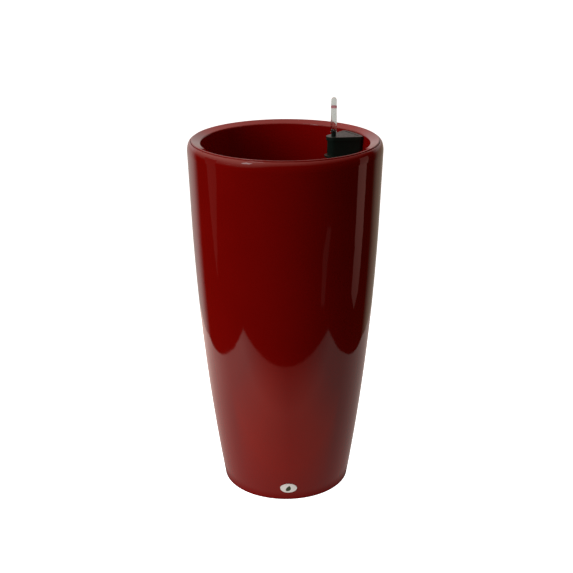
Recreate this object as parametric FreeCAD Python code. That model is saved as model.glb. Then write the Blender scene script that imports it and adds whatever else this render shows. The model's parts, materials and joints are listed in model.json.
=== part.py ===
import FreeCAD, Part
import math
import os

# Tall round self-watering planter, in millimetres. +Z is up, the origin is on the floor under the
# middle of the base, and the badge is on the -Y side. From outside to inside it is a tapered outer shell, a
# liner that hangs in the shell's rim, a perforated separator that makes a water reservoir in the
# liner's bottom, and a filling shaft at the liner's wall with a hinged lid and a float gauge.

V = FreeCAD.Vector
UP = V(0, 0, 1)

# ---- Driving dimensions ----
SHELL_DIAMETER = 393.7       # widest, just under the rim
BASE_DIAMETER = 269.6
LIP_HEIGHT = 750.0           # crest of the liner's lip above the floor
SHELL_WALL = 4.0
LINER_WALL = 3.0

# Shell outline: a straight cone at the top, then one arc that leaves it smoothly
CONE_TOP_Z = 728.3
CONE_FOOT_Z = 600.0
CONE_TAPER = 1.95            # degrees from vertical
RIM_TOP_Z = 747.4
RIM_INNER_RADIUS = 189.0
SEAT_Z = 739.0               # shelf inside the rim that carries the liner
SEAT_INNER_RADIUS = 180.0
SEAT_THICKNESS = 4.0
FOOT_WIDTH = 12.0
FOOT_HEIGHT = 3.5
SHELL_DRAIN_RADIUS = 12.0
BUNG_CLEARANCE = 0.3

# Badge
BADGE_AZIMUTH = 2.0          # degrees from -Y towards +X
BADGE_HALF_WIDTH = 17.6
BADGE_HALF_HEIGHT = 11.2
BADGE_Z = 31.0
BADGE_THICKNESS = 1.6

# Liner
LIP_OUTER_RADIUS = 188.4
LIP_DROP = 6.4               # the lip slopes down this much towards the planting hole
THROAT_RADIUS = 169.5
THROAT_Z = LIP_HEIGHT - LIP_DROP
LINER_DRAFT = 2.5            # degrees
SHELF_Z = 475.0              # step that carries the separator
SHELF_WIDTH = 4.0
FLOOR_Z = 403.0              # upper face of the liner's floor
TOWER_TOP_Z = 450.0          # top of the overflow tower, so the highest water level
TOWER_TOP_RADIUS = 14.0
TOWER_FOOT_RADIUS = 18.0
TOWER_DRAIN_RADIUS = 8.0

# Separator and wicking baskets
PLATE_THICKNESS = 3.5
PLATE_GAP = 0.5
BASKET_COUNT = 3
BASKET_RING_RADIUS = 88.0
BASKET_TOP_RADIUS = 30.5
BASKET_BOTTOM_RADIUS = 22.0
BASKET_WALL = 2.0
BASKET_BOTTOM_Z = 405.0

# Filling shaft: a wedge whose round nose faces the planter's axis and whose back follows the wall
SHAFT_AZIMUTH = 29.0         # degrees from +X
WEDGE_HALF_ANGLE = 22.5
WEDGE_NOSE_CENTRE = 113.3    # distance from the planter's axis
WEDGE_NOSE_RADIUS = 15.2
WEDGE_CORNER_RADIUS = 7.0
DECK_TOP_Z = 741.5
DECK_THICKNESS = 3.5
DECK_RIM_HEIGHT = 8.0
DECK_OVERHANG = 2.3          # of the deck over the head's walls
DECK_WALL_GAP = 1.2          # between the deck's back edge and the liner
SHAFT_WALL = 2.5
SHAFT_WALL_GAP = 5.5         # between the shaft's back and the liner, so that it clears the shelf
SHAFT_TOP_Z = 702.0
SHAFT_BOTTOM_Z = 403.4
FLANGE_OVERHANG = 3.7        # of the shaft's flange over the deck's outline
FLANGE_THICKNESS = 3.0
SPIGOT_DEPTH = 8.0
SPIGOT_WALL = 2.0

# Lid
LID_THICKNESS = 2.5
LID_FRONT_U = 123.0          # distances U are from the planter's axis, along the shaft's azimuth
HINGE_U = 156.0
HINGE_Z = DECK_TOP_Z - LID_THICKNESS
HINGE_ROLL_RADIUS = LID_THICKNESS
HINGE_HALF_LENGTH = 25.5
TRUNNION_RADIUS = 1.2
TRUNNION_LENGTH = 3.0
LID_GAP = 0.3                # all round the closed lid
LID_FRAME = 6.3              # width of the deck's frame beside the lid
LID_LEDGE = 2.0

# Float gauge
GAUGE_U = WEDGE_NOSE_CENTRE
STEM_RADIUS = 5.0
STEM_BORE = 3.6
STEM_TOP_Z = 754.5
CAP_BOTTOM_Z = 750.5
CAP_TOP_Z = 821.5
CAP_BOTTOM_RADIUS = 6.5
CAP_TOP_RADIUS = 5.7
CAP_WALL = 1.1
CHAMBER_RADIUS = 7.8
CHAMBER_BORE = 6.6
CHAMBER_BOTTOM_Z = 408.0
CHAMBER_TOP_Z = 517.0
FLOAT_RADIUS = 6.1
FLOAT_BOTTOM_Z = 412.2
FLOAT_LENGTH = 57.0
ROD_RADIUS = 1.25
TIP_RADIUS = 2.9
TIP_BOTTOM_Z = 741.0
TIP_LENGTH = 12.0
MAX_MARK_Z = 799.3
MAX_MARK_HEIGHT = 4.5


# ---- Outlines and small shapes ----
def rz(r, z):
    return V(r, 0, z)


def line(a, b):
    return Part.LineSegment(rz(*a), rz(*b)).toShape()


def chain(points):
    return [line(a, b) for a, b in zip(points, points[1:])]


def spin(edges):
    """The solid that a closed outline in the XZ plane sweeps about the Z axis."""
    return Part.Face(Part.Wire(edges)).revolve(V(0, 0, 0), UP, 360)


def spun_polygon(points):
    return spin(chain(points + points[:1]))


def rounded(solid, corners):
    """Fillets the circular edges given as (radius, height, fillet radius)."""
    for r, z, fillet in corners:
        rings = [
            e
            for e in solid.Edges
            if abs(e.BoundBox.ZMax - z) < 0.01
            and abs(e.BoundBox.ZMin - z) < 0.01
            and abs(e.BoundBox.XMax - r) < 0.05
        ]
        solid = solid.makeFillet(fillet, rings)
    return solid


def turned(shape, azimuth):
    shape.rotate(V(0, 0, 0), UP, azimuth)
    return shape


def cylinder(radius, z0, z1, x=0.0, y=0.0):
    return Part.makeCylinder(radius, z1 - z0, V(x, y, z0))


def box(x0, x1, y0, y1, z0, z1):
    return Part.makeBox(x1 - x0, y1 - y0, z1 - z0, V(x0, y0, z0))


# ---- Outer shell ----
CONE_TOP_RADIUS = SHELL_DIAMETER / 2
CONE_FOOT_RADIUS = CONE_TOP_RADIUS - (CONE_TOP_Z - CONE_FOOT_Z) * math.tan(math.radians(CONE_TAPER))
BASE_RADIUS = BASE_DIAMETER / 2


def belly_arc():
    """Centre and radius of the arc that leaves the cone along its slope and ends at the base."""
    inward = (-math.cos(math.radians(CONE_TAPER)), math.sin(math.radians(CONE_TAPER)))
    chord = (BASE_RADIUS - CONE_FOOT_RADIUS, -CONE_FOOT_Z)
    across = chord[0] * inward[0] + chord[1] * inward[1]
    radius = (chord[0] ** 2 + chord[1] ** 2) / (2 * across)
    return CONE_FOOT_RADIUS + radius * inward[0], CONE_FOOT_Z + radius * inward[1], radius


def shell_radius(z, inset=0.0):
    """Radius of the shell's outside at height z, or of a surface that lies inset inside it."""
    if z >= CONE_FOOT_Z:
        slope = math.radians(CONE_TAPER)
        return CONE_TOP_RADIUS - (CONE_TOP_Z - z) * math.tan(slope) - inset / math.cos(slope)
    centre_r, centre_z, radius = belly_arc()
    return centre_r + math.sqrt((radius - inset) ** 2 - (z - centre_z) ** 2)


def shell_side(z0, z1, inset=0.0):
    """Edges up the shell's side from z0 to z1: the arc, then the cone where z1 reaches it."""
    knee = min(z1, CONE_FOOT_Z)
    middle = (z0 + knee) / 2
    bottom, centre, top = (rz(shell_radius(z, inset), z) for z in (z0, middle, knee))
    edges = [Part.Arc(bottom, centre, top).toShape()]
    if z1 > CONE_FOOT_Z:
        edges.append(Part.LineSegment(top, rz(shell_radius(z1, inset), z1)).toShape())
    return edges


def rim_roll():
    """The rim's rounded shoulder: a quarter of an ellipse, from the side to the flat top."""
    ease = 0.5523
    width = CONE_TOP_RADIUS - RIM_INNER_RADIUS
    height = RIM_TOP_Z - CONE_TOP_Z
    curve = Part.BezierCurve()
    curve.setPoles([
        rz(CONE_TOP_RADIUS, CONE_TOP_Z),
        rz(CONE_TOP_RADIUS, CONE_TOP_Z + ease * height),
        rz(RIM_INNER_RADIUS + ease * width, RIM_TOP_Z),
        rz(RIM_INNER_RADIUS, RIM_TOP_Z),
    ])
    return curve.toShape()


def outer_shell():
    seat_bottom = SEAT_Z - SEAT_THICKNESS
    panel_top = FOOT_HEIGHT + SHELL_WALL
    foot_inner = BASE_RADIUS - FOOT_WIDTH
    outside = shell_side(0.0, CONE_TOP_Z) + [rim_roll()]
    inside = shell_side(panel_top, seat_bottom, SHELL_WALL)
    seat = chain([
        (RIM_INNER_RADIUS, RIM_TOP_Z),
        (RIM_INNER_RADIUS, SEAT_Z),
        (SEAT_INNER_RADIUS, SEAT_Z),
        (SEAT_INNER_RADIUS, seat_bottom),
        (shell_radius(seat_bottom, SHELL_WALL), seat_bottom),
    ])
    floor = chain([
        (shell_radius(panel_top, SHELL_WALL), panel_top),
        (SHELL_DRAIN_RADIUS, panel_top),
        (SHELL_DRAIN_RADIUS, FOOT_HEIGHT),
        (foot_inner, FOOT_HEIGHT),
        (foot_inner, 0.0),
        (BASE_RADIUS, 0.0),
    ])
    shell = spin(outside + seat + list(reversed(inside)) + floor)
    shell = rounded(shell, [
        (BASE_RADIUS, 0.0, 2.5),
        (foot_inner, 0.0, 2.0),
        (RIM_INNER_RADIUS, RIM_TOP_Z, 1.2),
        (shell_radius(panel_top, SHELL_WALL), panel_top, 5.0),
    ])
    notch = box(foot_inner - 5, BASE_RADIUS + 5, -6, 6, -1, 2.0)
    for k in range(3):
        shell = shell.cut(turned(notch.copy(), 30 + 60 * k))
    return shell


def oval_badge():
    """A thin oval that follows the shell's curve, low on the front."""
    gap = 0.02
    low = BADGE_Z - BADGE_HALF_HEIGHT - 1
    high = BADGE_Z + BADGE_HALF_HEIGHT + 1
    inner = shell_side(low, high, -gap)
    outer = shell_side(low, high, -BADGE_THICKNESS)
    ends = [
        line((shell_radius(z, -gap), z), (shell_radius(z, -BADGE_THICKNESS), z)) for z in (low, high)
    ]
    layer = spin([ends[0]] + outer + [ends[1]] + list(reversed(inner)))
    centre = V(0, -BASE_RADIUS - 40, BADGE_Z)
    oval = Part.Ellipse(
        centre + V(BADGE_HALF_WIDTH, 0, 0), centre + V(0, 0, BADGE_HALF_HEIGHT), centre
    )
    badge = layer.common(Part.Face(Part.Wire(oval.toShape())).extrude(V(0, 80, 0)))
    return turned(badge, BADGE_AZIMUTH)


def bung(hole_radius, seat_z, depth, flange_thickness, tab_height):
    """A rubber plug pushed into a round hole from above, with a flat tab to pull it by."""
    plug_radius = hole_radius - BUNG_CLEARANCE
    flange_radius = hole_radius + 5.0
    flange_top = seat_z + flange_thickness
    plug = spun_polygon([
        (0, seat_z - depth),
        (plug_radius - 1.2, seat_z - depth),
        (plug_radius, seat_z - depth + 1.8),
        (plug_radius, seat_z),
        (flange_radius, seat_z),
        (flange_radius, flange_top),
        (0, flange_top),
    ])
    plug = rounded(plug, [(flange_radius, flange_top, 1.0)])
    half = hole_radius * 0.75
    tab_top = flange_top + tab_height
    tab = box(-half, half, -1.6, 1.6, flange_top - 0.5, tab_top)
    top_corners = [
        e for e in tab.Edges if e.BoundBox.ZMin > tab_top - 0.01 and e.BoundBox.XLength < 0.01
    ]
    return plug.fuse(tab.makeFillet(tab_height * 0.45, top_corners))


# ---- Liner ----
def liner_radius(z, gap=0.0):
    """Radius of the liner's inside above the shelf, less a gap."""
    return THROAT_RADIUS - (THROAT_Z - z) * math.tan(math.radians(LINER_DRAFT)) - gap


def planting_liner():
    t = LINER_WALL
    sump_top = liner_radius(SHELF_Z) - SHELF_WIDTH
    sump_bottom = liner_radius(FLOOR_Z) - SHELF_WIDTH
    liner = spun_polygon([
        (TOWER_DRAIN_RADIUS, TOWER_TOP_Z),
        (TOWER_TOP_RADIUS, TOWER_TOP_Z),
        (TOWER_FOOT_RADIUS, FLOOR_Z),
        (sump_bottom, FLOOR_Z),
        (sump_top, SHELF_Z),
        (liner_radius(SHELF_Z), SHELF_Z),
        (THROAT_RADIUS, THROAT_Z),
        (LIP_OUTER_RADIUS, LIP_HEIGHT),
        (LIP_OUTER_RADIUS, SEAT_Z),
        (LIP_OUTER_RADIUS - t, SEAT_Z),
        (LIP_OUTER_RADIUS - t, LIP_HEIGHT - t - 1.0),
        (THROAT_RADIUS + t, THROAT_Z - t),
        (liner_radius(SHELF_Z - t) + t, SHELF_Z - t),
        (sump_top + t, SHELF_Z - t),
        (sump_bottom + t, FLOOR_Z - t),
        (TOWER_FOOT_RADIUS - t, FLOOR_Z - t),
        (TOWER_TOP_RADIUS - t, TOWER_TOP_Z - t),
        (TOWER_DRAIN_RADIUS, TOWER_TOP_Z - t),
    ])
    return rounded(liner, [
        (LIP_OUTER_RADIUS, LIP_HEIGHT, 1.6),
        (THROAT_RADIUS, THROAT_Z, 3.0),
        (THROAT_RADIUS + t, THROAT_Z - t, 2.0),
        (TOWER_TOP_RADIUS, TOWER_TOP_Z, 1.5),
        (sump_bottom, FLOOR_Z, 2.0),
        (sump_bottom + t, FLOOR_Z - t, 8.0),
        (TOWER_FOOT_RADIUS, FLOOR_Z, 3.0),
    ])


# ---- Wedge-shaped pieces of the filling shaft, made along +X and then turned to the azimuth ----
def wedge(offset, z0, z1, back=230.0):
    """Prism with a rounded nose and two flat sides, moved out by offset, as far as radius back."""
    angle = math.radians(WEDGE_HALF_ANGLE)
    nose = WEDGE_NOSE_RADIUS + offset
    tangent_u = WEDGE_NOSE_CENTRE - nose * math.sin(angle)
    tangent_v = nose * math.cos(angle)
    along = tangent_u * math.cos(angle) + tangent_v * math.sin(angle)
    beyond = tangent_u ** 2 + tangent_v ** 2 - back ** 2
    run = math.sqrt(along ** 2 - beyond) - along
    corner_u = tangent_u + run * math.cos(angle)
    corner_v = tangent_v + run * math.sin(angle)
    left, right = V(tangent_u, tangent_v, z0), V(tangent_u, -tangent_v, z0)
    back_left, back_right = V(corner_u, corner_v, z0), V(corner_u, -corner_v, z0)
    outline = Part.Wire([
        Part.Arc(right, V(WEDGE_NOSE_CENTRE - nose, 0, z0), left).toShape(),
        Part.LineSegment(left, back_left).toShape(),
        Part.Arc(back_left, V(back, 0, z0), back_right).toShape(),
        Part.LineSegment(back_right, right).toShape(),
    ])
    return Part.Face(outline).extrude(V(0, 0, z1 - z0))


def wall_cone(gap, z0, z1):
    """Everything closer to the axis than the liner's wall, less a gap."""
    return Part.makeCone(liner_radius(z0, gap), liner_radius(z1, gap), z1 - z0, V(0, 0, z0))


def wedge_in_liner(offset, gap, z0, z1):
    """The wedge as far as the liner's wall less a gap, with its two back corners rounded."""
    solid = wedge(offset, z0, z1).common(wall_cone(gap, z0, z1))
    corners = [
        e
        for e in solid.Edges
        if e.BoundBox.ZLength > (z1 - z0) * 0.99 and e.BoundBox.XMin > WEDGE_NOSE_CENTRE + 20
    ]
    return solid.makeFillet(WEDGE_CORNER_RADIUS + min(offset, 0), corners)


def supply_shaft():
    outer, inner = -DECK_OVERHANG, -DECK_OVERHANG - SHAFT_WALL
    tube = wedge_in_liner(outer, SHAFT_WALL_GAP, SHAFT_BOTTOM_Z, SHAFT_TOP_Z)
    flange_bottom = SHAFT_TOP_Z - FLANGE_THICKNESS
    flange = wedge_in_liner(FLANGE_OVERHANG, DECK_WALL_GAP, flange_bottom, SHAFT_TOP_Z)
    hollow = wedge_in_liner(inner, SHAFT_WALL_GAP + SHAFT_WALL, SHAFT_BOTTOM_Z, SHAFT_TOP_Z)
    shaft = tube.fuse(flange).cut(hollow)
    for u in (115, 121, 127, 133, 139):
        shaft = shaft.cut(box(u - 1.5, u + 1.5, -60, 60, SHAFT_BOTTOM_Z + 6, SHAFT_BOTTOM_Z + 40))
    return turned(shaft, SHAFT_AZIMUTH)


def shaft_strainer():
    """Perforated plate across the shaft's foot, with an opening for the gauge's chamber."""
    bottom, top = SHAFT_BOTTOM_Z + 0.4, SHAFT_BOTTOM_Z + 1.9
    plate = wedge_in_liner(-DECK_OVERHANG - SHAFT_WALL, SHAFT_WALL_GAP + SHAFT_WALL, bottom, top)
    holes = [cylinder(CHAMBER_RADIUS + 0.8, bottom - 1, top + 1, GAUGE_U, 0)]
    for row, u in enumerate((127, 133, 139, 145)):
        count = row + 4
        for k in range(count):
            holes.append(cylinder(1.6, bottom - 1, top + 1, u, (k - (count - 1) / 2) * 6.0))
    return turned(plate.cut(Part.makeCompound(holes)), SHAFT_AZIMUTH)


def inlet_head():
    """Box on top of the shaft: walls, a deck with the lid's opening, and a spigot below."""
    plate_bottom = DECK_TOP_Z - DECK_THICKNESS
    rim_bottom = DECK_TOP_Z - DECK_RIM_HEIGHT
    wall = -DECK_OVERHANG
    wall_gap = DECK_WALL_GAP + DECK_OVERHANG
    spigot = -DECK_OVERHANG - SHAFT_WALL
    spigot_gap = SHAFT_WALL_GAP + SHAFT_WALL
    spigot_bottom = SHAFT_TOP_Z - SPIGOT_DEPTH
    ceiling = SHAFT_TOP_Z + 2.5
    head = wedge_in_liner(0, DECK_WALL_GAP, rim_bottom, DECK_TOP_Z)
    head = head.makeChamfer(0.6, [e for e in head.Edges if e.BoundBox.ZMin > DECK_TOP_Z - 0.01])
    head = head.fuse(wedge_in_liner(wall, wall_gap, SHAFT_TOP_Z, rim_bottom))
    head = head.fuse(wedge_in_liner(spigot, spigot_gap, spigot_bottom, SHAFT_TOP_Z))
    head = head.cut(wedge_in_liner(wall - SHAFT_WALL, wall_gap + SHAFT_WALL, ceiling, plate_bottom))
    head = head.cut(
        wedge_in_liner(spigot - SPIGOT_WALL, spigot_gap + SPIGOT_WALL, spigot_bottom - 1, ceiling)
    )

    top, low = DECK_TOP_Z + 1, plate_bottom - 1
    hinge_half = HINGE_HALF_LENGTH + LID_GAP
    hinge_slot_half = HINGE_ROLL_RADIUS + LID_GAP
    recess = wedge(-LID_FRAME, HINGE_Z, top)
    recess = recess.common(box(LID_FRONT_U, HINGE_U, -hinge_half, hinge_half, low, top))
    mouth = wedge(-LID_FRAME - LID_LEDGE, low, top)
    mouth = mouth.common(box(LID_FRONT_U + LID_LEDGE, HINGE_U, -hinge_half, hinge_half, low, top))
    hinge_slot = box(
        HINGE_U - hinge_slot_half, HINGE_U + hinge_slot_half, -hinge_half, hinge_half, low, top
    )
    stem_hole = cylinder(STEM_RADIUS, low, top, GAUGE_U, 0)
    head = head.cut(recess).cut(mouth).cut(hinge_slot).cut(stem_hole)

    ear_bottom = HINGE_Z - 4
    for side in (-1, 1):
        near, far = sorted((side * hinge_half, side * 40))
        ear = box(HINGE_U - 4, HINGE_U + 4, near, far, ear_bottom, HINGE_Z)
        head = head.fuse(ear.common(wedge(wall - 1, ear_bottom, HINGE_Z)))
        mouth_of_bore = V(HINGE_U, side * (hinge_half - 1), HINGE_Z)
        bore_radius = TRUNNION_RADIUS + 0.05
        head = head.cut(
            Part.makeCylinder(bore_radius, TRUNNION_LENGTH + 1.2, mouth_of_bore, V(0, side, 0))
        )
    return turned(head.removeSplitter(), SHAFT_AZIMUTH)


def inlet_lid():
    """Flap with a hinge roll along its back edge and a trunnion at each end of the roll."""
    front = LID_FRONT_U + LID_GAP
    plate = wedge(-LID_FRAME - LID_GAP, HINGE_Z, DECK_TOP_Z).common(
        box(front, HINGE_U, -HINGE_HALF_LENGTH, HINGE_HALF_LENGTH, HINGE_Z, DECK_TOP_Z)
    )
    nail_edge = [
        e for e in plate.Edges if e.BoundBox.ZMin > DECK_TOP_Z - 0.01 and e.BoundBox.XMax < front + 0.01
    ]
    plate = plate.makeChamfer(0.6, nail_edge)
    roll = Part.makeCylinder(
        HINGE_ROLL_RADIUS, 2 * HINGE_HALF_LENGTH, V(HINGE_U, -HINGE_HALF_LENGTH, HINGE_Z), V(0, 1, 0)
    )
    axle_half = HINGE_HALF_LENGTH + TRUNNION_LENGTH
    axle = Part.makeCylinder(
        TRUNNION_RADIUS, 2 * axle_half, V(HINGE_U, -axle_half, HINGE_Z), V(0, 1, 0)
    )
    lid = plate.fuse(roll).fuse(axle)
    return turned(lid.removeSplitter(), SHAFT_AZIMUTH)


# ---- Separator ----
def basket_azimuths():
    return [SHAFT_AZIMUTH + 360 / (BASKET_COUNT + 1) * (k + 1) for k in range(BASKET_COUNT)]


def basket_centre(azimuth):
    angle = math.radians(azimuth)
    return V(BASKET_RING_RADIUS * math.cos(angle), BASKET_RING_RADIUS * math.sin(angle), 0)


def plate_slot_free(azimuth, radius):
    """Whether a slot at this place keeps clear of the baskets and of the shaft."""
    angle = math.radians(azimuth)
    at = V(radius * math.cos(angle), radius * math.sin(angle), 0)
    if any(at.distanceToPoint(basket_centre(a)) < BASKET_TOP_RADIUS + 14 for a in basket_azimuths()):
        return False
    turn = (azimuth - SHAFT_AZIMUTH + 180) % 360 - 180
    return radius < 88 or abs(turn) > 24


def separator_plate():
    top = SHELF_Z + PLATE_THICKNESS
    plate = cylinder(liner_radius(SHELF_Z) - PLATE_GAP, SHELF_Z, top)
    collar_top = top + 12.0
    socket = -DECK_OVERHANG + 0.4
    collar = wedge(socket + 2.0, SHELF_Z, collar_top).common(
        cylinder(liner_radius(SHELF_Z) - 4, SHELF_Z, collar_top)
    )
    plate = plate.fuse(collar)
    plate = plate.cut(wedge(socket, SHELF_Z - 1, collar_top + 1))
    plate = turned(plate, SHAFT_AZIMUTH)
    for azimuth in basket_azimuths():
        centre = basket_centre(azimuth)
        plate = plate.cut(cylinder(BASKET_TOP_RADIUS + 0.4, SHELF_Z - 1, top + 1, centre.x, centre.y))
    slots = []
    for radius, count in ((32, 8), (58, 16), (84, 24), (110, 30), (138, 36)):
        for k in range(count):
            azimuth = 360 / count * k
            if plate_slot_free(azimuth, radius):
                slot = box(radius - 7, radius + 7, -1.25, 1.25, SHELF_Z - 1, top + 1)
                slots.append(turned(slot, azimuth))
    return plate.cut(Part.makeCompound(slots))


def wick_basket(azimuth):
    """Slotted cup that hangs from the separator and reaches down into the water."""
    top = SHELF_Z + PLATE_THICKNESS
    flange_radius = BASKET_TOP_RADIUS + 4
    cup = spun_polygon([
        (0, BASKET_BOTTOM_Z),
        (BASKET_BOTTOM_RADIUS, BASKET_BOTTOM_Z),
        (BASKET_TOP_RADIUS, top),
        (flange_radius, top),
        (flange_radius, top + 2),
        (BASKET_TOP_RADIUS - BASKET_WALL, top + 2),
        (BASKET_BOTTOM_RADIUS - BASKET_WALL, BASKET_BOTTOM_Z + BASKET_WALL),
        (0, BASKET_BOTTOM_Z + BASKET_WALL),
    ])
    cup = rounded(cup, [(BASKET_BOTTOM_RADIUS, BASKET_BOTTOM_Z, 1.5)])
    for k in range(4):
        side_slot = box(-40, 40, -1.5, 1.5, BASKET_BOTTOM_Z + 8, top - 22)
        cup = cup.cut(turned(side_slot, 45 * k))
        foot_slot = box(6, 17, -1.25, 1.25, BASKET_BOTTOM_Z - 1, BASKET_BOTTOM_Z + 3)
        cup = cup.cut(turned(foot_slot, 90 * k + 22.5))
    cup.translate(basket_centre(azimuth))
    return cup


# ---- Float gauge, made on its own axis and then moved to the shaft ----
def on_gauge_axis(shape):
    angle = math.radians(SHAFT_AZIMUTH)
    shape.translate(V(GAUGE_U * math.cos(angle), GAUGE_U * math.sin(angle), 0))
    return shape


def cap_radius(z):
    share = (z - CAP_BOTTOM_Z) / (CAP_TOP_Z - CAP_TOP_RADIUS - CAP_BOTTOM_Z)
    return CAP_BOTTOM_RADIUS + (CAP_TOP_RADIUS - CAP_BOTTOM_RADIUS) * share


def gauge_stem():
    """Black tube from the float chamber up through the deck, with a stop collar under the deck."""
    plate_bottom = DECK_TOP_Z - DECK_THICKNESS
    tube = cylinder(STEM_RADIUS, CHAMBER_TOP_Z, STEM_TOP_Z)
    collar = cylinder(STEM_RADIUS + 2.2, plate_bottom - 2, plate_bottom)
    stem = tube.fuse(collar).cut(cylinder(STEM_BORE, CHAMBER_TOP_Z - 1, STEM_TOP_Z + 1))
    return on_gauge_axis(stem)


def float_chamber():
    """Slotted tube round the float, closed at the top round the stem."""
    socket_top = CHAMBER_TOP_Z + 8
    chamber = spun_polygon([
        (CHAMBER_BORE, CHAMBER_BOTTOM_Z),
        (CHAMBER_RADIUS, CHAMBER_BOTTOM_Z),
        (CHAMBER_RADIUS, CHAMBER_TOP_Z + 4),
        (STEM_RADIUS + 1.4, socket_top),
        (STEM_RADIUS, socket_top),
        (STEM_RADIUS, CHAMBER_TOP_Z),
        (CHAMBER_BORE, CHAMBER_TOP_Z),
    ])
    for k in range(2):
        slot = box(-12, 12, -1.5, 1.5, CHAMBER_BOTTOM_Z + 8, CHAMBER_BOTTOM_Z + 40)
        chamber = chamber.cut(turned(slot, 90 * k))
    return on_gauge_axis(chamber)


def chamber_foot():
    """End cap that snaps into the chamber and holds the float in."""
    flange_bottom = CHAMBER_BOTTOM_Z - 2.3
    return on_gauge_axis(spun_polygon([
        (2.0, flange_bottom),
        (CHAMBER_RADIUS, flange_bottom),
        (CHAMBER_RADIUS, CHAMBER_BOTTOM_Z),
        (CHAMBER_BORE, CHAMBER_BOTTOM_Z),
        (CHAMBER_BORE, CHAMBER_BOTTOM_Z + 4),
        (2.0, CHAMBER_BOTTOM_Z + 4),
    ]))


def domed_tube(bottom_z, bottom_radius, shoulder_radius):
    """Tapered plug from bottom_z to the cap's shoulder, closed by half a ball."""
    shoulder = CAP_TOP_Z - CAP_TOP_RADIUS
    lean = shoulder_radius * math.sqrt(0.5)
    dome = Part.Arc(
        rz(shoulder_radius, shoulder), rz(lean, shoulder + lean), rz(0, shoulder + shoulder_radius)
    )
    sides = chain([(0, bottom_z), (bottom_radius, bottom_z), (shoulder_radius, shoulder)])
    return spin(sides + [dome.toShape(), line((0, shoulder + shoulder_radius), (0, bottom_z))])


def gauge_cap():
    """Clear tapered tube with a domed top, pushed over the stem's end."""
    cap = domed_tube(CAP_BOTTOM_Z, CAP_BOTTOM_RADIUS, CAP_TOP_RADIUS)
    cap = cap.cut(domed_tube(CAP_BOTTOM_Z, CAP_BOTTOM_RADIUS - CAP_WALL, CAP_TOP_RADIUS - CAP_WALL))
    grip = cylinder(CAP_BOTTOM_RADIUS - 0.5, CAP_BOTTOM_Z, STEM_TOP_Z)
    return on_gauge_axis(cap.fuse(grip.cut(cylinder(STEM_RADIUS, CAP_BOTTOM_Z, STEM_TOP_Z))))


def max_level_ring():
    top = MAX_MARK_Z + MAX_MARK_HEIGHT
    return on_gauge_axis(spun_polygon([
        (cap_radius(MAX_MARK_Z) + 0.02, MAX_MARK_Z),
        (cap_radius(MAX_MARK_Z) + 0.3, MAX_MARK_Z),
        (cap_radius(top) + 0.3, top),
        (cap_radius(top) + 0.02, top),
    ]))


def float_body():
    body = cylinder(FLOAT_RADIUS, FLOAT_BOTTOM_Z, FLOAT_BOTTOM_Z + FLOAT_LENGTH)
    body = rounded(body, [
        (FLOAT_RADIUS, FLOAT_BOTTOM_Z, 2.0),
        (FLOAT_RADIUS, FLOAT_BOTTOM_Z + FLOAT_LENGTH, 2.0),
    ])
    return on_gauge_axis(body)


def float_rod():
    return on_gauge_axis(cylinder(ROD_RADIUS, FLOAT_BOTTOM_Z + FLOAT_LENGTH, TIP_BOTTOM_Z))


def float_tip():
    tip = cylinder(TIP_RADIUS, TIP_BOTTOM_Z, TIP_BOTTOM_Z + TIP_LENGTH)
    return on_gauge_axis(rounded(tip, [(TIP_RADIUS, TIP_BOTTOM_Z + TIP_LENGTH, 1.8)]))


def build():
    pieces = {
        "outer_shell": outer_shell(),
        "oval_badge": oval_badge(),
        "shell_bung": bung(SHELL_DRAIN_RADIUS, FOOT_HEIGHT + SHELL_WALL, 6.5, 4.0, 11.0),
        "planting_liner": planting_liner(),
        "reservoir_bung": bung(TOWER_DRAIN_RADIUS, TOWER_TOP_Z, 9.0, 3.0, 7.0),
        "separator_plate": separator_plate(),
        "supply_shaft": supply_shaft(),
        "shaft_strainer": shaft_strainer(),
        "inlet_head": inlet_head(),
        "inlet_lid": inlet_lid(),
        "gauge_stem": gauge_stem(),
        "float_chamber": float_chamber(),
        "chamber_foot": chamber_foot(),
        "gauge_cap": gauge_cap(),
        "max_level_ring": max_level_ring(),
        "float_body": float_body(),
        "float_rod": float_rod(),
        "float_tip": float_tip(),
    }
    for k, azimuth in enumerate(basket_azimuths(), start=1):
        pieces[f"wick_basket_{k}"] = wick_basket(azimuth)
    return pieces


def main():
    os.makedirs("parts", exist_ok=True)
    for name, shape in build().items():
        shape.exportStep(f"parts/{name}.step")
        volume = shape.Volume / 1000
        print(f"{name:16s} valid {shape.isValid()}  solids {len(shape.Solids)}  {volume:9.2f} cm3")


main()
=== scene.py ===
import json
import math

import bpy
from mathutils import Euler, Matrix, Vector

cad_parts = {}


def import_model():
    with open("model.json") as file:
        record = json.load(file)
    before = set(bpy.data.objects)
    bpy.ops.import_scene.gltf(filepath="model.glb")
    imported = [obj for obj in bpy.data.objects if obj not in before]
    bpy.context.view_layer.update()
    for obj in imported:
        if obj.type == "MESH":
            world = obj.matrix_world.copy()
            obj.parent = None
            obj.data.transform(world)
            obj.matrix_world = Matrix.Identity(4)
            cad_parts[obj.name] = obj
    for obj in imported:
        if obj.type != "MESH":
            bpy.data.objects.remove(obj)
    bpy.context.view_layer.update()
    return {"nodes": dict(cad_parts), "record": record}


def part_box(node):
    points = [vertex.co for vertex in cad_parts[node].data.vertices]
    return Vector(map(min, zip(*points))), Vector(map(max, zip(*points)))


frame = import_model()
NODES = frame["nodes"]

# ---- Camera, in metres and degrees ----
CAMERA_PLACE = (0.0, -2.1549, 1.2370)
CAMERA_PITCH = 20.467
CAMERA_YAW = 0.046
CAMERA_ROLL = -0.155
CAMERA_LENS = 68.77
CAMERA_SENSOR = 36.0

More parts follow.
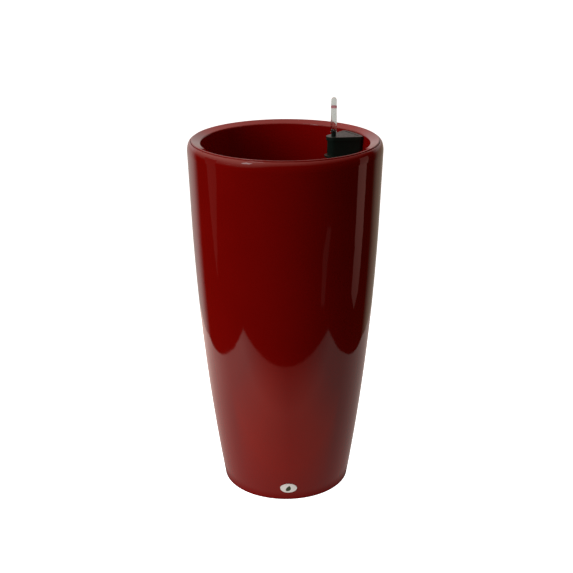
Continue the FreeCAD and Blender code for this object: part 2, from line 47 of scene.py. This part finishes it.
# ---- Studio, in metres and watts: a table top and strips that glow in the gloss, unseen by the camera ----
TABLE_FRONT = -0.643
TABLE_CORNER = -0.513
TABLE_SHOULDER = 0.40
TABLE_BACK = 0.90
TABLE_HALF = 0.685
TABLE_BACK_HALF = 0.51
TABLE_EDGE_BAND = -0.42
# Painted red bounce light that the planter throws onto the table just in front of it, seen in the gloss
TABLE_RED_BOUNCE = (3.4, 1.0, 0.80)
TABLE_PLAIN = (1.25, 1.0, 0.90)
FOOT_RADIUS = 0.134
STRIP_SIDE = 0.9
STRIP_TOP = 0.9
STRIP_TINT = (2.2, 1.0, 0.82)
LEFT_STRIP_GLOW = 0.09
THIN_STRIP_GLOW = 0.08
LAMP_GLOW = 5.0
WHITE = (1.0, 1.0, 1.0)
FLOOR_REACH = 12.0
KEY_WATTS = 41.0
OVERHEAD_WATTS = 8.8


# ---- Shader helpers ----
class Nodes:
    """Short way to build a node tree: every call adds a node and returns the output that is used next."""

    def __init__(self, owner):
        owner.use_nodes = True
        self.tree = owner.node_tree
        self.tree.nodes.clear()

    def add(self, kind, **settings):
        node = self.tree.nodes.new(kind)
        for name, value in settings.items():
            setattr(node, name, value)
        return node

    def set(self, socket, value):
        if isinstance(value, bpy.types.NodeSocket):
            self.tree.links.new(value, socket)
        elif isinstance(value, tuple) and len(value) == 3 and len(socket.default_value) == 4:
            socket.default_value = (*value, 1.0)
        else:
            socket.default_value = value

    def coordinates(self, kind="Object"):
        return self.add("ShaderNodeTexCoord").outputs[kind]

    def stretched(self, vector, scale):
        node = self.add("ShaderNodeMapping")
        self.set(node.inputs["Vector"], vector)
        node.inputs["Scale"].default_value = scale
        return node.outputs["Vector"]

    def noise(self, vector, scale, detail=2.0, roughness=0.5):
        node = self.add("ShaderNodeTexNoise")
        self.set(node.inputs["Vector"], vector)
        node.inputs["Scale"].default_value = scale
        node.inputs["Detail"].default_value = detail
        node.inputs["Roughness"].default_value = roughness
        return node.outputs["Fac"]

    def cells(self, vector, scale):
        node = self.add("ShaderNodeTexVoronoi")
        self.set(node.inputs["Vector"], vector)
        node.inputs["Scale"].default_value = scale
        return node.outputs["Distance"]

    def span(self, value, low, high, out_low=0.0, out_high=1.0, smooth=False):
        node = self.add("ShaderNodeMapRange", interpolation_type="SMOOTHSTEP" if smooth else "LINEAR")
        self.set(node.inputs["Value"], value)
        for name, number in (
            ("From Min", low), ("From Max", high), ("To Min", out_low), ("To Max", out_high)
        ):
            node.inputs[name].default_value = number
        return node.outputs["Result"]

    def math(self, operation, a, b=0.0):
        node = self.add("ShaderNodeMath", operation=operation)
        self.set(node.inputs[0], a)
        self.set(node.inputs[1], b)
        return node.outputs[0]

    def mix(self, share, a, b):
        node = self.add("ShaderNodeMix", data_type="RGBA")
        self.set(node.inputs[0], share)
        self.set(node.inputs[6], a)
        self.set(node.inputs[7], b)
        return node.outputs[2]

    def bump(self, height, strength, distance):
        node = self.add("ShaderNodeBump")
        node.inputs["Strength"].default_value = strength
        node.inputs["Distance"].default_value = distance
        self.set(node.inputs["Height"], height)
        return node.outputs["Normal"]


def axes_of(nodes, vector):
    """The X, Y and Z outputs of a vector."""
    parts = nodes.add("ShaderNodeSeparateXYZ")
    nodes.set(parts.inputs[0], vector)
    return (parts.outputs[axis] for axis in "XYZ")


def surface(name, build):
    """A material whose Principled sockets are what build(nodes) returns."""
    material = bpy.data.materials.new(name)
    nodes = Nodes(material)
    shader = nodes.add("ShaderNodeBsdfPrincipled")
    for socket, value in build(nodes).items():
        nodes.set(shader.inputs[socket], value)
    output = nodes.add("ShaderNodeOutputMaterial")
    nodes.tree.links.new(shader.outputs["BSDF"], output.inputs["Surface"])
    return material


# ---- Materials ----
def red_lacquer(nodes):
    """Glossy deep red, faintly uneven in depth, with a lacquer's orange peel and a little dust."""
    at = nodes.coordinates()
    depth = nodes.noise(at, 7.0, 3.0)
    colour = nodes.mix(nodes.span(depth, 0.3, 0.7), (0.163, 0.0013, 0.0007), (0.180, 0.0017, 0.0010))
    specks = nodes.span(nodes.cells(at, 260.0), 0.05, 0.09, 1.0, 0.0)
    patches = nodes.span(nodes.noise(at, 22.0, 4.0), 0.60, 0.72)
    dust = nodes.math("MULTIPLY", nodes.math("MULTIPLY", specks, patches), 0.10)
    colour = nodes.mix(dust, colour, (0.26, 0.12, 0.10))
    gloss = nodes.span(nodes.noise(at, 35.0, 4.0), 0.3, 0.75, 0.030, 0.065)
    peel = nodes.bump(nodes.noise(at, 420.0, 1.0), 0.035, 0.0004)
    return {"Base Color": colour, "Roughness": gloss, "IOR": 1.5, "Normal": peel}


def moulded_black(nodes):
    """Injection-moulded black plastic with a fine spark-eroded grain and a greyed, handled look."""
    at = nodes.coordinates()
    haze = nodes.span(nodes.noise(at, 45.0, 4.0), 0.35, 0.7)
    colour = nodes.mix(haze, (0.0012, 0.0078, 0.0060), (0.0024, 0.0104, 0.0078))
    rough = nodes.span(nodes.noise(at, 160.0, 3.0), 0.3, 0.7, 0.35, 0.46)
    grain = nodes.bump(nodes.noise(at, 2600.0, 2.0), 0.18, 0.0002)
    return {
        "Base Color": colour,
        "Roughness": rough,
        "IOR": 1.5,
        "Specular IOR Level": 0.31,
        "Normal": grain,
    }


def soft_rubber(nodes):
    """Matt black rubber with a greyish bloom."""
    at = nodes.coordinates()
    bloom = nodes.span(nodes.noise(at, 120.0, 5.0), 0.4, 0.75)
    colour = nodes.mix(bloom, (0.016, 0.016, 0.015), (0.034, 0.033, 0.031))
    grain = nodes.bump(nodes.noise(at, 1500.0, 3.0), 0.25, 0.0003)
    return {"Base Color": colour, "Roughness": 0.72, "IOR": 1.5, "Normal": grain}


def clear_tube(nodes):
    """Clear styrene with faint flow ripple along its length."""
    at = nodes.coordinates()
    ripple = nodes.noise(nodes.stretched(at, (1.0, 1.0, 0.15)), 120.0, 1.0)
    tone = nodes.span(nodes.noise(at, 60.0, 3.0), 0.3, 0.7)
    rough = nodes.span(nodes.noise(at, 90.0, 3.0), 0.3, 0.7, 0.07, 0.13)
    return {
        "Base Color": nodes.mix(tone, (0.89, 0.90, 0.88), (0.93, 0.94, 0.92)),
        "Roughness": rough,
        "IOR": 1.46,
        "Transmission Weight": 1.0,
        "Normal": nodes.bump(ripple, 0.08, 0.0002),
    }


def printed_red(nodes):
    """A thin band of translucent ink, denser in places."""
    at = nodes.coordinates()
    uneven = nodes.span(nodes.noise(at, 700.0, 4.0), 0.35, 0.7)
    colour = nodes.mix(uneven, (0.80, 0.40, 0.46), (0.90, 0.52, 0.57))
    return {"Base Color": colour, "Roughness": 0.32, "IOR": 1.45, "Transmission Weight": 0.9}


def drop_shape(nodes, at):
    """1 inside a leaning water drop in the middle of the badge, 0 outside."""
    low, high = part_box("oval_badge")
    middle_x, middle_z = (low[0] + high[0]) / 2, (low[2] + high[2]) / 2
    half_height = (high[2] - low[2]) * 0.34
    x, _, z = axes_of(nodes, at)
    up = nodes.math("DIVIDE", nodes.math("SUBTRACT", z, middle_z), half_height)
    across = nodes.math("DIVIDE", nodes.math("SUBTRACT", x, middle_x), half_height)
    across = nodes.math("SUBTRACT", across, nodes.math("MULTIPLY", up, 0.28))
    below_tip = nodes.math("MAXIMUM", nodes.math("SUBTRACT", 1.0, up), 0.0)
    belly = nodes.math("SUBTRACT", 1.0, nodes.math("MULTIPLY", up, up))
    outline = nodes.math("MULTIPLY", nodes.math("MULTIPLY", below_tip, belly), 0.42)
    inside = nodes.math("SUBTRACT", outline, nodes.math("MULTIPLY", across, across))
    return nodes.span(inside, 0.0, 0.08)


def badge_enamel(nodes):
    """Off-white satin plate, slightly yellowed in patches, printed with a dark green drop."""
    at = nodes.coordinates()
    tone = nodes.span(nodes.noise(at, 180.0, 4.0), 0.35, 0.7)
    plate = nodes.mix(tone, (0.80, 0.79, 0.73), (0.86, 0.85, 0.80))
    fleck = nodes.span(nodes.noise(at, 900.0, 3.0), 0.35, 0.7)
    ink = nodes.mix(fleck, (0.010, 0.040, 0.018), (0.020, 0.080, 0.035))
    grain = nodes.bump(nodes.noise(at, 1800.0, 2.0), 0.08, 0.0001)
    colour = nodes.mix(drop_shape(nodes, at), plate, ink)
    return {"Base Color": colour, "Roughness": 0.34, "IOR": 1.5, "Normal": grain}


def bead_foam(nodes):
    """Expanded foam: pale, matt, with the outlines of its beads."""
    at = nodes.coordinates()
    beads = nodes.cells(at, 700.0)
    colour = nodes.mix(nodes.span(beads, 0.2, 0.7), (0.80, 0.80, 0.78), (0.66, 0.66, 0.63))
    dents = nodes.bump(nodes.math("SUBTRACT", 1.0, beads), 0.5, 0.0004)
    return {"Base Color": colour, "Roughness": 0.85, "IOR": 1.4, "Normal": dents}


def white_rod(nodes):
    """White satin plastic with streaks along the rod."""
    at = nodes.coordinates()
    tone = nodes.span(nodes.noise(nodes.stretched(at, (1.0, 1.0, 0.1)), 500.0, 3.0), 0.3, 0.7)
    colour = nodes.mix(tone, (0.74, 0.74, 0.72), (0.82, 0.82, 0.80))
    return {"Base Color": colour, "Roughness": 0.42, "IOR": 1.5}


def red_tip(nodes):
    """Bright red satin plastic."""
    at = nodes.coordinates()
    tone = nodes.span(nodes.noise(at, 600.0, 3.0), 0.3, 0.7)
    colour = nodes.mix(tone, (0.56, 0.012, 0.014), (0.68, 0.020, 0.022))
    grain = nodes.bump(nodes.noise(at, 2200.0, 2.0), 0.1, 0.0002)
    return {"Base Color": colour, "Roughness": 0.38, "IOR": 1.5, "Normal": grain}


SURFACES = {
    "red_gloss": surface("red_lacquer", red_lacquer),
    "black_plastic": surface("moulded_black", moulded_black),
    "rubber": surface("soft_rubber", soft_rubber),
    "clear_plastic": surface("clear_tube", clear_tube),
    "mark_red": surface("printed_red", printed_red),
    "badge_white": surface("badge_enamel", badge_enamel),
    "float_foam": surface("bead_foam", bead_foam),
    "white_plastic": surface("white_rod", white_rod),
    "tip_red": surface("red_tip", red_tip),
}


def dress_cad_nodes():
    """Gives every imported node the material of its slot."""
    for part in frame["record"]["subparts"]:
        mesh = NODES[part["node"]].data
        mesh.materials.clear()
        mesh.materials.append(SURFACES[part["material_slot"]])


# ---- Studio ----
def linked(name, data):
    """A new object in the scene that shows this data."""
    thing = bpy.data.objects.new(name, data)
    bpy.context.scene.collection.objects.link(thing)
    return thing


def flat_sheet(name, corners, material):
    """One flat polygon."""
    mesh = bpy.data.meshes.new(name)
    mesh.from_pydata(corners, [], [tuple(range(len(corners)))])
    mesh.materials.append(material)
    return linked(name, mesh)


def only_seen_by(thing, *kinds):
    """Hides an object from every kind of ray but these."""
    for kind in ("camera", "diffuse", "glossy", "transmission", "volume_scatter", "shadow"):
        setattr(thing, f"visible_{kind}", kind in kinds)


def glow(name, corners, colour, strength, *kinds):
    """A flat glowing sheet that only some kinds of ray can see."""
    material = bpy.data.materials.new(name)
    nodes = Nodes(material)
    light = nodes.add("ShaderNodeEmission")
    nodes.set(light.inputs["Color"], colour(nodes) if callable(colour) else colour)
    nodes.set(light.inputs["Strength"], strength(nodes) if callable(strength) else strength)
    output = nodes.add("ShaderNodeOutputMaterial")
    nodes.tree.links.new(light.outputs["Emission"], output.inputs["Surface"])
    sheet = flat_sheet(name, corners, material)
    only_seen_by(sheet, *kinds)


def table_outline():
    """Bowed at the front, straight along the sides, narrower at the back."""
    steps = 16
    bow = []
    for k in range(steps + 1):
        share = 2.0 * k / steps - 1.0
        bow.append((TABLE_HALF * share, TABLE_FRONT + (TABLE_CORNER - TABLE_FRONT) * share ** 2, 0.0))
    return bow + [
        (TABLE_HALF, TABLE_SHOULDER, 0.0), (TABLE_BACK_HALF, TABLE_BACK, 0.0),
        (-TABLE_BACK_HALF, TABLE_BACK, 0.0), (-TABLE_HALF, TABLE_SHOULDER, 0.0),
    ]


def table_strength(nodes):
    """The table top in the gloss: bright on the left and at the back, with a painted contact shadow against
    the foot and painted shade just in front of the planter.
    """
    at = nodes.coordinates()
    x, y, _ = axes_of(nodes, at)
    from_axis = nodes.add("ShaderNodeVectorMath", operation="LENGTH")
    nodes.set(from_axis.inputs[0], at)
    # Painted contact shadow: the table's glow drops to a tenth within 2 cm of the foot
    painted_contact_shadow = nodes.span(from_axis.outputs["Value"], FOOT_RADIUS, FOOT_RADIUS + 0.02, 0.1, 1.0)
    across = nodes.math("ADD", nodes.span(x, -0.6, 0.02, 0.78, 0.33), nodes.span(x, 0.05, 0.3, 0.0, 0.02))
    front = nodes.span(y, TABLE_FRONT, TABLE_EDGE_BAND, 0.40, 1.0)
    # Painted shade of the planter on the table just in front of it
    painted_shade_near_pot = nodes.span(y, TABLE_EDGE_BAND, -0.15, 1.0, 0.85)
    back = nodes.span(y, -0.1, 0.6, 1.0, 1.5)
    along = nodes.math("MULTIPLY", nodes.math("MULTIPLY", front, painted_shade_near_pot), back)
    return nodes.math("MULTIPLY", nodes.math("MULTIPLY", across, along), painted_contact_shadow)


def table_glow_with_red_bounce(nodes):
    """Painted red bounce light from the planter just in front of it, nearly white beside and behind it."""
    x, y, _ = axes_of(nodes, nodes.coordinates())
    aside = nodes.span(nodes.math("ABSOLUTE", x), 0.2, 0.5)
    plain = nodes.math("MAXIMUM", aside, nodes.span(y, -0.22, -0.11))
    # Painted red bounce light in front of the planter, plain table glow beside and behind it
    return nodes.mix(plain, TABLE_RED_BOUNCE, TABLE_PLAIN)


def bounce_strength(nodes):
    """The soft light that the table throws up, stronger on the left."""
    x, _, _ = axes_of(nodes, nodes.coordinates())
    return nodes.span(x, -0.5, 0.5, 1.05, 0.35)


def right_strip_strength(nodes):
    """Brightest in the middle of its height."""
    _, _, z = axes_of(nodes, nodes.coordinates())
    return nodes.math("MULTIPLY", nodes.span(z, 0.05, 0.4, 0.15, 0.29), nodes.span(z, 0.5, 0.75, 1.0, 0.7))


def strip(name, side, outline, strength):
    """An upright glowing strip beside the planter; its outline is in Y and Z."""
    glow(name, [(side, y, z) for y, z in outline], STRIP_TINT, strength, "glossy")


def studio():
    floor_material = surface("pale_floor", lambda nodes: {
        "Base Color": nodes.mix(
            nodes.noise(nodes.coordinates(), 3.0, 4.0), (0.90, 0.90, 0.90), (0.92, 0.92, 0.92)
        ),
        "Roughness": 0.9,
        "Emission Color": WHITE,
        "Emission Strength": 0.9,
    })
    sides = ((-1, -1), (1, -1), (1, 1), (-1, 1))
    floor = flat_sheet("floor", [(FLOOR_REACH * x, FLOOR_REACH * y, 0.0) for x, y in sides], floor_material)
    only_seen_by(floor, "camera")

    table = table_outline()
    glow("table_gloss", table, table_glow_with_red_bounce, table_strength, "glossy")
    glow("table_bounce", table, WHITE, bounce_strength, "diffuse")
    strip("left_strip", -STRIP_SIDE, (
        (-0.20, STRIP_TOP), (-0.17, 0.45), (-0.05, 0.15), (0.05, 0.45), (0.10, STRIP_TOP),
    ), LEFT_STRIP_GLOW)
    strip("right_strip", STRIP_SIDE, (
        (-0.08, 0.10), (0.03, 0.045), (0.12, 0.10), (0.17, STRIP_TOP), (-0.08, STRIP_TOP),
    ), right_strip_strength)
    strip("thin_strip", STRIP_SIDE, (
        (-0.965, -0.16), (-0.82, -0.10), (-0.80, 0.05), (-0.71, 0.25), (-0.83, 0.22), (-0.96, 0.08),
    ), THIN_STRIP_GLOW)
    glow("lamp_face", [
        (-1.95, -1.45, 1.95), (-1.65, -1.75, 1.95), (-1.50, -1.60, 2.75), (-1.80, -1.30, 2.75),
    ], WHITE, LAMP_GLOW, "glossy")
    glow("small_lamp_face", [
        (-0.80, -0.30, 2.5), (-0.45, -0.30, 2.5), (-0.45, -0.05, 2.5), (-0.80, -0.05, 2.5),
    ], WHITE, LAMP_GLOW, "glossy")


def lamp(name, place, aim, size, watts):
    """A soft lamp that only diffuse rays see, so the gloss never mirrors it."""
    data = bpy.data.lights.new(name, "AREA")
    data.shape = "RECTANGLE"
    data.size, data.size_y = size
    data.energy = watts
    light = linked(name, data)
    light.location = place
    light.rotation_euler = (Vector(aim) - Vector(place)).to_track_quat("-Z", "Y").to_euler()
    only_seen_by(light, "diffuse")


def lamps():
    lamp("key", (-2.1, -1.5, 1.5), (0.0, 0.0, 0.45), (1.4, 1.4), KEY_WATTS)
    lamp("overhead", (0.1, 0.2, 2.6), (0.0, 0.0, 0.6), (1.8, 1.8), OVERHEAD_WATTS)


def world():
    """White to the camera. In the gloss the room is bright behind and overhead, dark in front."""
    sky = bpy.data.worlds.new("studio")
    bpy.context.scene.world = sky
    nodes = Nodes(sky)
    way = nodes.coordinates("Generated")
    x, y, z = axes_of(nodes, way)
    dark = (0.016, 0.006, 0.001)
    start = nodes.span(x, -0.85, 0.0, -0.05, 0.38, smooth=True)
    ceiling = nodes.span(nodes.math("SUBTRACT", z, start), 0.0, 0.75)
    overhead = nodes.mix(nodes.span(x, -0.7, 0.7), (2.00, 1.25, 1.05), (1.05, 0.37, 0.30))
    gloss = nodes.mix(ceiling, dark, overhead)
    low = nodes.mix(nodes.span(x, -0.55, 0.55), (0.62, 0.60, 0.56), (0.31, 0.25, 0.18))
    middle = nodes.mix(nodes.span(x, -0.6, 0.6), (0.90, 0.90, 0.88), (0.52, 0.54, 0.50))
    backdrop = nodes.mix(nodes.span(z, 0.0, 0.15), low, middle)
    backdrop = nodes.mix(nodes.span(z, 0.35, 0.55), backdrop, (1.15, 0.50, 0.45))
    gloss = nodes.mix(nodes.span(y, 0.52, 0.76, smooth=True), gloss, backdrop)
    soft = nodes.mix(nodes.span(z, -0.2, 0.3), (0.03, 0.03, 0.03), (0.19, 0.19, 0.19))
    ray = nodes.add("ShaderNodeLightPath").outputs
    colour = nodes.mix(ray["Is Diffuse Ray"], gloss, soft)
    colour = nodes.mix(ray["Is Transmission Ray"], colour, (0.63, 0.63, 0.61))
    colour = nodes.mix(ray["Is Camera Ray"], colour, WHITE)
    background = nodes.add("ShaderNodeBackground")
    nodes.set(background.inputs["Color"], colour)
    output = nodes.add("ShaderNodeOutputWorld")
    nodes.tree.links.new(background.outputs["Background"], output.inputs["Surface"])


def camera():
    """Looks down at the planter from the front."""
    data = bpy.data.cameras.new("camera")
    data.sensor_width = CAMERA_SENSOR
    data.lens = CAMERA_LENS
    data.clip_start, data.clip_end = 0.05, 60.0
    eye = linked("camera", data)
    eye.location = CAMERA_PLACE
    aim = Euler((math.radians(90.0 - CAMERA_PITCH), 0.0, math.radians(-CAMERA_YAW))).to_matrix()
    eye.rotation_euler = (aim @ Matrix.Rotation(math.radians(CAMERA_ROLL), 3, "Z")).to_euler()
    bpy.context.scene.camera = eye


bpy.context.scene.view_settings.view_transform = "Standard"
camera()
world()
lamps()
studio()
dress_cad_nodes()
